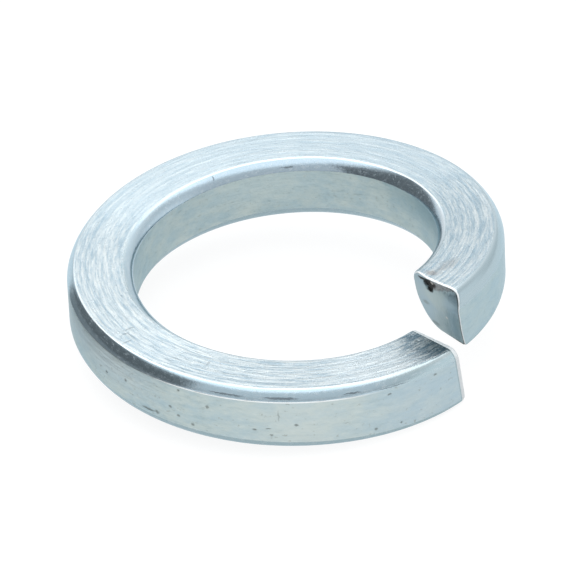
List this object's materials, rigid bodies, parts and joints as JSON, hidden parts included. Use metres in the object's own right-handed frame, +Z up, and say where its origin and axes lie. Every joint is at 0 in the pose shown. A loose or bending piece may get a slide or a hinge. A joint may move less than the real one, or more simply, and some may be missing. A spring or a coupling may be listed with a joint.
{
  "type": "spring lock washer",
  "caption": "Split spring lock washer of near square section, coiled left-hand, with its sheared ends standing apart in height.",
  "frame": {"origin": "on the washer's axis, at the height of the coil's lowest point", "axes": "+Z up along the bore axis, towards the raised end; +X and +Y across the ring, with the split between them and -Y, at 322 degrees from +X"},
  "size_m": [0.0296, 0.0296, 0.0088],
  "materials": {
    "zinc_plated_steel": "bright zinc plate, satin walls, fine drawing lines on the flats"
  },
  "bodies": {
    "root": {"lock_washer": "zinc_plated_steel"}
  },
  "joints": []
}
